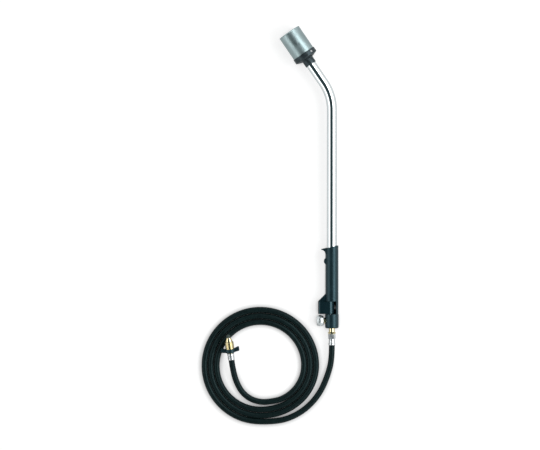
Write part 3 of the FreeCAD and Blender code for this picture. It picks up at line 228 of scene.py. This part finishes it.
class Finish:
    """A material in the making: a Principled shader with textures in the torch's frame."""

    def __init__(self, name, colour, metallic, roughness):
        self.material = bpy.data.materials.new(name)
        self.material.use_nodes = True
        self.tree = self.material.node_tree
        self.shader = principled(self.tree)
        self.colour = tuple(colour)
        self.set("Base Color", (*self.colour, 1))
        self.set("Metallic", metallic)
        self.set("Roughness", roughness)
        self.place = self.tree.nodes.new("ShaderNodeTexCoord").outputs["Object"]

    def set(self, socket, value):
        """Set a plain value on the shader."""
        self.shader.inputs[socket].default_value = value

    def link(self, output, target):
        """Join an output to an input."""
        self.tree.links.new(output, target)

    def mapped(self, scale, turn):
        """Give the torch's coordinates, turned about Z and stretched by a scale for each axis."""
        mapping = self.tree.nodes.new("ShaderNodeMapping")
        mapping.vector_type = "TEXTURE"
        mapping.inputs["Rotation"].default_value = (0, 0, turn)
        mapping.inputs["Scale"].default_value = scale
        self.link(self.place, mapping.inputs["Vector"])
        return mapping.outputs["Vector"]

    def noise(self, size, detail, stretch=(1, 1, 1), turn=0, roughness=0.55):
        """Add noise with features of about a size, stretched along the axes."""
        texture = self.tree.nodes.new("ShaderNodeTexNoise")
        texture.inputs["Scale"].default_value = 1
        texture.inputs["Detail"].default_value = detail
        texture.inputs["Roughness"].default_value = roughness
        self.link(self.mapped([size * part for part in stretch], turn), texture.inputs["Vector"])
        return texture.outputs["Fac"]

    def span(self, value, low, high, start=0.3, end=0.7):
        """Map a texture's value to a range; most of a noise lies between start and end."""
        return scaled(self.tree, value, low, high, start, end)

    def mixed(self, factor):
        """Put a mix of two colours, by a factor, before the main colour, and give the mix."""
        mix = self.tree.nodes.new("ShaderNodeMix")
        mix.data_type = "RGBA"
        self.link(factor, mix.inputs[MIX_FACTOR])
        self.link(mix.outputs[MIX_RESULT], self.shader.inputs["Base Color"])
        return mix

    def shade(self, value, dark, light, tint=(1, 1, 1)):
        """Let the main colour vary between a darker and a lighter tone, by a texture's value."""
        mix = self.mixed(self.span(value, 0, 1))
        dark_tone = [part * dark for part in self.colour]
        light_tone = [min(part * light * hue, 1) for part, hue in zip(self.colour, tint)]
        mix.inputs[MIX_FIRST].default_value = (*dark_tone, 1)
        mix.inputs[MIX_SECOND].default_value = (*light_tone, 1)

    def speck(self, value, colour, start, end):
        """Lay a second colour over the shaded one where a texture's value is high."""
        shaded = self.shader.inputs["Base Color"].links[0].from_socket
        mix = self.mixed(self.span(value, 0, 1, start, end))
        self.link(shaded, mix.inputs[MIX_FIRST])
        mix.inputs[MIX_SECOND].default_value = (*colour, 1)

    def polish(self, value, low, high):
        """Let the roughness vary between two values, by a texture's value."""
        self.link(self.span(value, low, high), self.shader.inputs["Roughness"])

    def relief(self, value, height, strength):
        """Raise the surface by a texture's value."""
        bump = self.tree.nodes.new("ShaderNodeBump")
        bump.inputs["Strength"].default_value = strength
        bump.inputs["Distance"].default_value = height
        self.link(value, bump.inputs["Height"])
        self.link(bump.outputs["Normal"], self.shader.inputs["Normal"])

    def on(self, *objects):
        """Give the finish to objects, in place of what they had."""
        for item in objects:
            item.data.materials.clear()
            item.data.materials.append(self.material)


def casting_finish():
    """Dark casting: a fine sandy skin with darker and greyer clouds."""
    finish = Finish("dark_casting", colours().casting, metallic=0.65, roughness=0.42)
    finish.shade(finish.noise(0.009, detail=4), dark=0.7, light=1.5)
    finish.polish(finish.noise(0.004, detail=4), low=0.32, high=0.52)
    finish.relief(finish.noise(0.0011, detail=4), height=0.00018, strength=0.7)
    return finish


def cup_finish():
    """Satin rolled sheet: fine scratches round the cup, and soft clouds."""
    finish = Finish("satin_cup_steel", colours().cup_steel, metallic=1, roughness=0.3)
    scratches = finish.noise(0.0006, detail=3, stretch=(22, 0.6, 22), turn=HEAD_TURN)
    finish.shade(finish.noise(0.022, detail=4), dark=0.9, light=1.06)
    finish.polish(scratches, low=0.35, high=0.47)
    finish.relief(scratches, height=0.00002, strength=0.35)
    finish.set("Anisotropic", 0.35)
    return finish


def chrome_finish(name, grain, roughness):
    """Bright plating with faint polishing lines and clouds."""
    finish = Finish(name, colours().chrome, metallic=1, roughness=roughness)
    finish.shade(finish.noise(0.03, detail=3), dark=0.96, light=1.02)
    lines = finish.noise(0.0012, detail=3, stretch=grain)
    finish.polish(lines, low=roughness * 0.75, high=roughness * 1.4)
    finish.relief(finish.noise(0.05, detail=2), height=0.00012, strength=0.15)
    return finish


def zinc_finish():
    """Bright zinc plating: bluish grey with small clouds and fine turning marks."""
    finish = Finish("zinc_plating", colours().zinc, metallic=1, roughness=0.24)
    finish.shade(finish.noise(0.005, detail=4), dark=0.82, light=1.12, tint=(0.98, 1, 1.03))
    marks = finish.noise(0.0004, detail=2, stretch=(14, 0.8, 14))
    finish.polish(marks, low=0.26, high=0.42)
    finish.relief(marks, height=0.00002, strength=0.3)
    return finish


def brass_finish():
    """Turned brass: fine rings from the tool, a little darker in places."""
    finish = Finish("turned_brass", colours().brass, metallic=1, roughness=0.17)
    finish.shade(finish.noise(0.004, detail=4), dark=0.82, light=1.1, tint=(1, 0.98, 0.92))
    marks = finish.noise(0.00035, detail=2, stretch=(16, 0.8, 16))
    finish.polish(marks, low=0.12, high=0.26)
    finish.relief(marks, height=0.00002, strength=0.35)
    return finish


def plastic_finish(name, roughness):
    """Moulded black plastic: fine spark grain and soft clouds of gloss."""
    finish = Finish(name, colours().plastic, metallic=0, roughness=roughness)
    finish.set("Specular Tint", (0.52, 0.88, 1, 1))
    finish.shade(finish.noise(0.02, detail=3), dark=0.85, light=1.25)
    finish.polish(finish.noise(0.013, detail=4), low=roughness * 0.85, high=roughness * 1.15)
    finish.relief(finish.noise(0.0006, detail=3), height=0.00006, strength=0.55)
    return finish


def rubber_finish(name, colour):
    """Rubber: satin, with soft clouds of gloss and a trace of dust."""
    finish = Finish(name, colour, metallic=0, roughness=0.42)
    finish.set("Specular IOR Level", 0.17)
    finish.set("Specular Tint", (0.66, 0.95, 1, 1))
    finish.shade(finish.noise(0.016, detail=4), dark=0.8, light=1.4)
    finish.polish(finish.noise(0.006, detail=4), low=0.36, high=0.52)
    finish.relief(finish.noise(0.0012, detail=4), height=0.0001, strength=0.35)
    dust = finish.noise(0.0021, detail=5, roughness=0.7)
    finish.speck(dust, colours().rubber_dust, start=0.62, end=0.76)
    return finish


def ceramic_finish():
    """Glazed insulator: off-white with faint clouds."""
    finish = Finish("glazed_ceramic", colours().ceramic, metallic=0, roughness=0.2)
    finish.shade(finish.noise(0.003, detail=3), dark=0.92, light=1.05)
    finish.polish(finish.noise(0.002, detail=3), low=0.14, high=0.28)
    return finish


def black_steel_finish():
    """Blackened screws: dark oxide with greyer clouds."""
    finish = Finish("blackened_steel", colours().black_steel, metallic=0.9, roughness=0.38)
    finish.shade(finish.noise(0.002, detail=4), dark=0.8, light=1.5)
    finish.polish(finish.noise(0.0008, detail=3), low=0.3, high=0.46)
    return finish


def grey_plastic_finish():
    """Moulded grey plastic: a fine grain and faint clouds."""
    finish = Finish("moulded_grey_plastic", colours().grey_plastic, metallic=0, roughness=0.4)
    finish.shade(finish.noise(0.006, detail=3), dark=0.9, light=1.12)
    finish.polish(finish.noise(0.003, detail=3), low=0.34, high=0.46)
    finish.relief(finish.noise(0.0007, detail=3), height=0.00004, strength=0.5)
    return finish


def coil_points():
    """Give the hose's control points round the coil, clockwise from its outer end.

    The points are the corners of a polygon about the turns. In the last quarter of each turn they
    step in by the pitch, and the last corner is left to the tail.
    """
    step = 2 * math.pi / CORNERS_PER_TURN
    widen = 1 / math.cos(step / 2)
    quarter = math.pi / 2
    points = []
    for index in range(sizes().coil_turns * CORNERS_PER_TURN - 1):
        turn, corner = divmod(index, CORNERS_PER_TURN)
        swept = (corner + 0.5) * step
        inward = math.sin(max(swept - 3 * quarter, 0)) ** 2
        radius = (sizes().coil_radius - (turn + inward) * sizes().coil_pitch) * widen
        angle = -quarter - swept
        offset = Vector((radius * math.cos(angle), radius * math.sin(angle), 0))
        points.append(COIL_CENTRE + offset)
    return points


def thread_radius(station, turn):
    """Give the nut's outside radius at a station, a part of a turn round its axis."""
    phase = (station / sizes().thread_pitch + turn) % 1
    flank = min(abs(2 * phase - 1) * FLANK_STEEPNESS, 1)
    crest = THREAD_RADIUS - sizes().thread_depth * flank
    return min(crest, THREAD_RADIUS - max(station - THREAD_END + THREAD_CHAMFER, 0))


def nut_rings():
    """List the nut's rings along its axis, each a station and a radius, or None on the thread."""
    threaded = THREAD_END - WING_END
    rows = math.ceil(threaded / sizes().thread_pitch * ROWS_PER_PITCH)
    foot = [(NUT_START, NUT_BORE_RADIUS), (NUT_START, NUT_HUB_RADIUS), (WING_END, NUT_HUB_RADIUS)]
    thread = [(WING_END + threaded * row / rows, None) for row in range(rows + 1)]
    return [*foot, *thread, (THREAD_END, NUT_BORE_RADIUS)]


def threaded_nut():
    """Make the brass nut with its thread cut as a real helix."""
    shape = bmesh.new()
    loops = []
    for station, radius in nut_rings():
        loop = []
        for side in range(THREAD_SIDES):
            turn = side / THREAD_SIDES
            reach = radius or thread_radius(station, turn)
            angle = 2 * math.pi * turn
            corner = (reach * math.cos(angle), station, reach * math.sin(angle))
            loop.append(shape.verts.new(corner))
        loops.append(loop)
    for near, far in zip(loops, loops[1:] + loops[:1]):
        for side in range(THREAD_SIDES):
            after = (side + 1) % THREAD_SIDES
            shape.faces.new((near[side], far[side], far[after], near[after]))
    bmesh.ops.recalc_face_normals(shape, faces=shape.faces)
    for face in shape.faces:
        face.smooth = True
    mesh = bpy.data.meshes.new("threaded_nut")
    shape.to_mesh(mesh)
    shape.free()
    mesh.set_sharp_from_angle(angle=SHARP_ANGLE)
    nut = bpy.data.objects.new("threaded_nut", mesh)
    bpy.context.scene.collection.objects.link(nut)
    lean = CONNECTOR_AXIS.to_track_quat("Y", "Z")
    mesh.transform(Matrix.Translation(CONNECTOR_ORIGIN) @ lean.to_matrix().to_4x4())
    return nut


class TORCH_OT_hose(bpy.types.Operator):
    """Lay the rubber hose from the torch round its coil to the cylinder connector"""
    bl_idname = "torch.hose"
    bl_label = "Hose"

    def execute(self, context):
        lead = [HOSE_EXIT, LEAD_START] + [COIL_CENTRE + Vector(point) for point in LEAD_POINTS]
        tail = [COIL_CENTRE + Vector(point) for point in TAIL_POINTS]
        points = lead + coil_points() + tail
        curve = bpy.data.curves.new("hose", "CURVE")
        curve.dimensions = "3D"
        curve.bevel_depth = sizes().hose_diameter / 2
        curve.bevel_resolution = 8
        curve.resolution_u = 10
        curve.use_fill_caps = True
        spline = curve.splines.new("NURBS")
        spline.points.add(len(points) - 1)
        for place, point in zip(spline.points, points):
            place.co = (*point, 1)
        spline.order_u = 3
        spline.use_endpoint_u = True
        hose = bpy.data.objects.new("hose", curve)
        context.scene.collection.objects.link(hose)
        rubber_finish("extruded_black_rubber", colours().rubber).on(hose)
        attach(hose, "torch")
        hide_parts("hose_lead", "hose_coil", "hose_tail")
        return {"FINISHED"}


class TORCH_OT_burner(bpy.types.Operator):
    """Finish the burner head: casting, cup, nozzle and spark gap"""
    bl_idname = "torch.burner"
    bl_label = "Burner head"

    def execute(self, context):
        casting_finish().on(*nodes("burner_base"))
        cup_finish().on(*nodes("burner_cup", "flame_holder"))
        zinc_finish().on(*nodes("cup_screws", "spark_electrode"))
        black_steel_finish().on(*nodes("base_set_screw"))
        brass_finish().on(*nodes("gas_jet", "burner_nozzle"))
        ceramic_finish().on(*nodes("electrode_insulator"))
        return {"FINISHED"}


class TORCH_OT_lance(bpy.types.Operator):
    """Finish the lance tube and what runs inside it"""
    bl_idname = "torch.lance"
    bl_label = "Lance"

    def execute(self, context):
        lance = chrome_finish("lance_chrome", grain=(1, 40, 1), roughness=0.06)
        lance.on(*nodes("lance_tube"))
        zinc_finish().on(*nodes("gas_pipe"))
        rubber_finish("lead_rubber", colours().rubber).on(*nodes("ignition_lead"))
        return {"FINISHED"}


class TORCH_OT_handle(bpy.types.Operator):
    """Finish the handle shells, their screws, the trigger and the igniter"""
    bl_idname = "torch.handle"
    bl_label = "Handle"

    def execute(self, context):
        shells = plastic_finish("handle_plastic", roughness=0.36)
        shells.on(*nodes("handle_front_shell", "handle_back_shell"))
        plastic_finish("trigger_plastic", roughness=0.2).on(*nodes("igniter_trigger"))
        black_steel_finish().on(*nodes("handle_screws"))
        grey_plastic_finish().on(*nodes("piezo_igniter", "piezo_plunger"))
        return {"FINISHED"}


class TORCH_OT_valve(bpy.types.Operator):
    """Finish the gas valve, its knob and the inlet"""
    bl_idname = "torch.valve"
    bl_label = "Valve and inlet"

    def execute(self, context):
        brass_finish().on(*nodes("valve_body", "valve_spindle", "gland_nut", "gas_pipe_nut",
                                 "inlet_nipple"))
        knob = chrome_finish("knob_chrome", grain=(6, 1, 1), roughness=0.34)
        knob.on(*nodes("valve_knob"))
        zinc_finish().on(*nodes("knob_screw", "swivel_nut", "torch_end_ferrule"))
        rubber_finish("packing_rubber", colours().rubber).on(*nodes("gland_packing"))
        return {"FINISHED"}


class TORCH_OT_connector(bpy.types.Operator):
    """Cut the connector's thread and finish the cylinder connector"""
    bl_idname = "torch.connector"
    bl_label = "Cylinder connector"

    def execute(self, context):
        zinc_finish().on(*nodes("cylinder_end_ferrule"))
        nut = threaded_nut()
        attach(nut, "connector")
        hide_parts("connector_nut")
        brass_finish().on(nut, *nodes("connector_nipple"))
        rubber_finish("seal_rubber", colours().seal).on(*nodes("nose_seal"))
        plastic_finish("wing_plastic", roughness=0.33).on(*nodes("wing_handle"))
        return {"FINISHED"}


def seen_rays(tree):
    """Give 1 for rays that show the background: from the camera, off metal or through glass."""
    path = tree.nodes.new("ShaderNodeLightPath")
    total = path.outputs["Is Camera Ray"]
    for name in ("Is Glossy Ray", "Is Transmission Ray"):
        add = tree.nodes.new("ShaderNodeMath")
        add.operation = "ADD"
        add.use_clamp = True
        tree.links.new(total, add.inputs[0])
        tree.links.new(path.outputs[name], add.inputs[1])
        total = add.outputs[0]
    return total


def level_sheet(context, name, left, right, reach, height):
    """Lay a level rectangle, its reach either way along Y; give it and its shader nodes."""
    mesh = bpy.data.meshes.new(name)
    corners = [(left, -reach, 0), (right, -reach, 0), (right, reach, 0), (left, reach, 0)]
    mesh.from_pydata(corners, [], [(0, 1, 2, 3)])
    material = bpy.data.materials.new(name)
    material.use_nodes = True
    mesh.materials.append(material)
    sheet = bpy.data.objects.new(name, mesh)
    sheet.location.z = height
    context.scene.collection.objects.link(sheet)
    return sheet, material.node_tree


def hang_flag(context):
    """Hang a dark card over the torch, with sides that fade to white, for reflections alone."""
    left, dark_left, dark_right, right = FLAG_EDGES
    card, tree = level_sheet(context, "overhead_flag", left, right, FLAG_REACH, FLAG_HEIGHT)
    tree.nodes.clear()
    place = tree.nodes.new("ShaderNodeTexCoord")
    across = tree.nodes.new("ShaderNodeSeparateXYZ")
    tree.links.new(place.outputs["Object"], across.inputs[0])
    ramp = tree.nodes.new("ShaderNodeValToRGB")
    tree.links.new(scaled(tree, across.outputs["X"], 0, 1, left, right), ramp.inputs["Fac"])
    ramp.color_ramp.interpolation = "EASE"
    stops = ramp.color_ramp.elements
    for stop in stops:
        stop.color = WHITE
    for edge in (dark_left, dark_right):
        stops.new((edge - left) / (right - left)).color = FLAG_DARK
    glow = tree.nodes.new("ShaderNodeEmission")
    tree.links.new(ramp.outputs["Color"], glow.inputs["Color"])
    result = tree.nodes.new("ShaderNodeOutputMaterial")
    tree.links.new(glow.outputs[0], result.inputs["Surface"])
    card.visible_camera = False
    card.visible_diffuse = False
    card.visible_shadow = False
    card.visible_transmission = False


def lay_floor(context):
    """Lay a pale floor, white to the camera apart from the torch's soft shadow: real shadow from the lamps, plus
    painted shade where ambient occlusion dims the floor's glow near the torch.
    """
    floor, tree = level_sheet(context, "floor", -FLOOR_REACH, FLOOR_REACH, FLOOR_REACH, -FLOOR_DROP)
    shader = principled(tree)
    shader.inputs["Base Color"].default_value = (FLOOR_GREY, FLOOR_GREY, FLOOR_GREY, 1)
    shader.inputs["Roughness"].default_value = 1
    shader.inputs["Specular IOR Level"].default_value = 0
    # Painted shade: ambient occlusion dims the floor's glow near the torch and in the gaps between the hose's
    # turns.
    painted_crevice_shade = tree.nodes.new("ShaderNodeAmbientOcclusion")
    painted_crevice_shade.inputs["Distance"].default_value = FLOOR_PAINTED_SHADE_REACH
    tree.links.new(painted_crevice_shade.outputs["Color"], shader.inputs["Emission Color"])
    mirrored = tree.nodes.new("ShaderNodeLightPath").outputs["Is Glossy Ray"]
    glow = tree.nodes.new("ShaderNodeMath")
    glow.operation = "MULTIPLY"
    tree.links.new(scaled(tree, seen_rays(tree), 0, FLOOR_GLOW), glow.inputs[0])
    tree.links.new(scaled(tree, mirrored, 1, FLOOR_MIRRORED_SHARE), glow.inputs[1])
    tree.links.new(glow.outputs[0], shader.inputs["Emission Strength"])


def light_world(context):
    """Light the torch softly from all sides, and show white to the camera and to metal."""
    world = bpy.data.worlds.new("studio")
    context.scene.world = world
    world.use_nodes = True
    tree = world.node_tree
    background = next(node for node in tree.nodes if node.type == "BACKGROUND")
    background.inputs["Color"].default_value = WHITE
    tree.links.new(scaled(tree, seen_rays(tree), WORLD_LIGHT, 1), background.inputs["Strength"])


def soft_box(context, name, place, width, height, power, colour):
    """Set up a wide lamp that is aimed at the torch."""
    lamp = bpy.data.lights.new(name, "AREA")
    lamp.shape = "RECTANGLE"
    lamp.size = width
    lamp.size_y = height
    lamp.energy = power
    lamp.color = colour
    item = bpy.data.objects.new(name, lamp)
    item.location = place
    aim = LAMP_TARGET - Vector(place)
    item.rotation_euler = aim.to_track_quat("-Z", "Y").to_euler()
    context.scene.collection.objects.link(item)


def set_camera(context):
    """Set the camera high above the torch, looking straight down."""
    camera = bpy.data.cameras.new("camera")
    camera.sensor_width = CAMERA_SENSOR
    camera.lens = CAMERA_LENS
    camera.clip_end = CAMERA_RANGE
    item = bpy.data.objects.new("camera", camera)
    item.location = CAMERA_PLACE
    context.scene.collection.objects.link(item)
    context.scene.camera = item


class TORCH_OT_stage(bpy.types.Operator):
    """Set the floor, the lights and the camera above the torch"""
    bl_idname = "torch.stage"
    bl_label = "Stage"

    def execute(self, context):
        context.scene.view_settings.view_transform = "Standard"
        lay_floor(context)
        light_world(context)
        soft_box(context, "right_softbox", place=(1.7, 0.1, 1.9), width=3.2, height=1.4, power=55,
                 colour=(0.96, 0.99, 1))
        soft_box(context, "left_softbox", place=(-2.2, -0.1, 1.6), width=2.6, height=0.9, power=11,
                 colour=(0.97, 1, 0.99))
        hang_flag(context)
        set_camera(context)
        return {"FINISHED"}


class TORCH_PT_pieces(bpy.types.Panel):
    """List the torch's sizes, colours and pieces"""
    bl_idname = "TORCH_PT_pieces"
    bl_label = "Gas torch"
    bl_space_type = "VIEW_3D"
    bl_region_type = "UI"
    bl_category = "Torch"

    def draw(self, context):
        for group in (context.scene.torch_sizes, context.scene.torch_colours):
            column = self.layout.column(align=True)
            for name in group.__annotations__:
                column.prop(group, name)
        for operator in PIECES:
            self.layout.operator(operator.bl_idname)


PIECES = (TORCH_OT_burner, TORCH_OT_lance, TORCH_OT_handle, TORCH_OT_valve, TORCH_OT_connector,
          TORCH_OT_hose, TORCH_OT_stage)
CLASSES = (TorchSizes, TorchColours, *PIECES, TORCH_PT_pieces)


def register():
    for item in CLASSES:
        bpy.utils.register_class(item)
    bpy.types.Scene.torch_sizes = PointerProperty(type=TorchSizes)
    bpy.types.Scene.torch_colours = PointerProperty(type=TorchColours)


def unregister():
    del bpy.types.Scene.torch_colours
    del bpy.types.Scene.torch_sizes
    for item in reversed(CLASSES):
        bpy.utils.unregister_class(item)


def main():
    register()
    bpy.ops.torch.burner()
    bpy.ops.torch.lance()
    bpy.ops.torch.handle()
    bpy.ops.torch.valve()
    bpy.ops.torch.connector()
    bpy.ops.torch.hose()
    bpy.ops.torch.stage()


if __name__ == "__main__":
    main()
